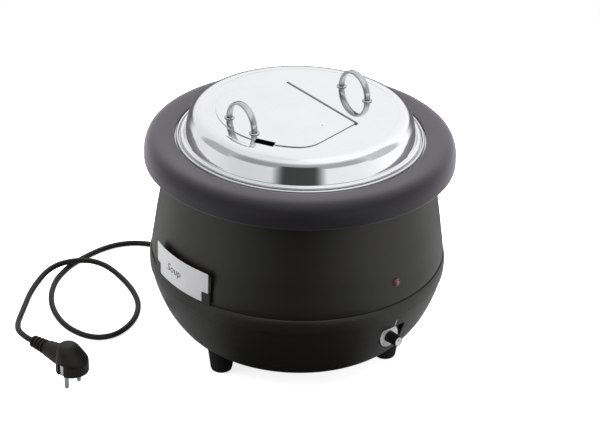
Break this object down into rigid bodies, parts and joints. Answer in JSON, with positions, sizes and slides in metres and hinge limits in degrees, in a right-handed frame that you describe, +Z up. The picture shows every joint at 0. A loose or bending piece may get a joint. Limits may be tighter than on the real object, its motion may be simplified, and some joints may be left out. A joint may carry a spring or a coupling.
{
  "type": "soup tureen",
  "caption": "Electric soup tureen: round black casing with a wide collar, a lift-out steel pot, a domed lid with a hinged flap, a control knob, a label card and a mains lead.",
  "frame": {"origin": "on the floor under the kettle's axis, level with the feet's soles", "axes": "+Z up; -Y is the front with the label card; +X carries the control knob and the pilot lamp; the mains lead leaves low on -X. The loose lid is turned 4 degrees about Z"},
  "size_m": [0.4662, 0.4443, 0.316],
  "materials": {
    "casing_paint": "satin black paint",
    "collar_plastic": "fine matte texture",
    "polished_steel": "mirror polished stainless steel",
    "plain_steel": "plain",
    "heater_sheath": "dull heat-tinted",
    "cutout_brass": "plain",
    "terminal_nylon": "moulded",
    "dial_silver": "satin with printed ticks",
    "knob_black": "moulded",
    "label_white": "satin card",
    "lamp_red": "translucent lens",
    "foot_rubber": "moulded",
    "cord_rubber": "smooth sheath"
  },
  "bodies": {
    "base": {"base_plate": "plain_steel", "clamp_bolt": "plain_steel", "collar_ring": "collar_plastic", "cord_gland": "cord_rubber", "foot_front": "foot_rubber", "foot_left": "foot_rubber", "foot_nut_front": "plain_steel", "foot_nut_left": "plain_steel", "foot_nut_right": "plain_steel", "foot_right": "foot_rubber", "foot_screw_front": "plain_steel", "foot_screw_left": "plain_steel", "foot_screw_right": "plain_steel", "gland_nut": "knob_black", "heater_clamp": "plain_steel", "heating_element": "heater_sheath", "holder_stud_left": "knob_black", "holder_stud_right": "knob_black", "index_mark": "label_white", "label_holder": "knob_black", "lower_bowl": "casing_paint", "mains_lead": "cord_rubber", "pilot_lamp_body": "terminal_nylon", "pilot_lens": "lamp_red", "plug_body": "cord_rubber", "plug_pin_left": "plain_steel", "plug_pin_right": "plain_steel", "plug_sleeve": "cord_rubber", "terminal_block": "terminal_nylon", "thermal_cutout": "cutout_brass", "thermostat_body": "terminal_nylon", "upper_casing": "casing_paint", "water_basin": "plain_steel"},
    "pot": {"insert_pot": "polished_steel"},
    "lid": {"lid_shell": "polished_steel", "lid_hinge_leaf": "polished_steel", "hinge_pin": "plain_steel", "rear_handle": "polished_steel", "rear_handle_washer_left": "polished_steel", "rear_handle_washer_right": "polished_steel", "rear_handle_screw_left": "plain_steel", "rear_handle_screw_right": "plain_steel"},
    "flap": {"lid_flap": "polished_steel", "front_handle": "polished_steel", "front_handle_washer_left": "polished_steel", "front_handle_washer_right": "polished_steel", "front_handle_screw_left": "plain_steel", "front_handle_screw_right": "plain_steel"},
    "knob": {"control_knob": "knob_black", "knob_cap": "dial_silver", "dial_ring": "dial_silver", "thermostat_shaft": "plain_steel"},
    "card": {"label_card": "label_white"}
  },
  "joints": [
    {"name": "pot_lift", "type": "slide", "parent": "base", "child": "pot", "axis": [0, 0, 1], "range_m": [0, 0.21]},
    {"name": "lid_lift", "type": "slide", "parent": "pot", "child": "lid", "axis": [0, 0, 1], "range_m": [0, 0.1]},
    {"name": "flap_hinge", "type": "hinge", "parent": "lid", "child": "flap", "pos_m": [0.00188, 0.02693, 0.2892], "axis": [-0.9976, 0.0698, 0], "range_deg": [0, 105]},
    {"name": "knob_turn", "type": "hinge", "parent": "base", "child": "knob", "pos_m": [0.1536, 0, 0.0752], "axis": [-1, 0, 0], "range_deg": [0, 270]},
    {"name": "card_lift", "type": "slide", "parent": "base", "child": "card", "axis": [0, 0, 1], "range_m": [0, 0.045]}
  ]
}
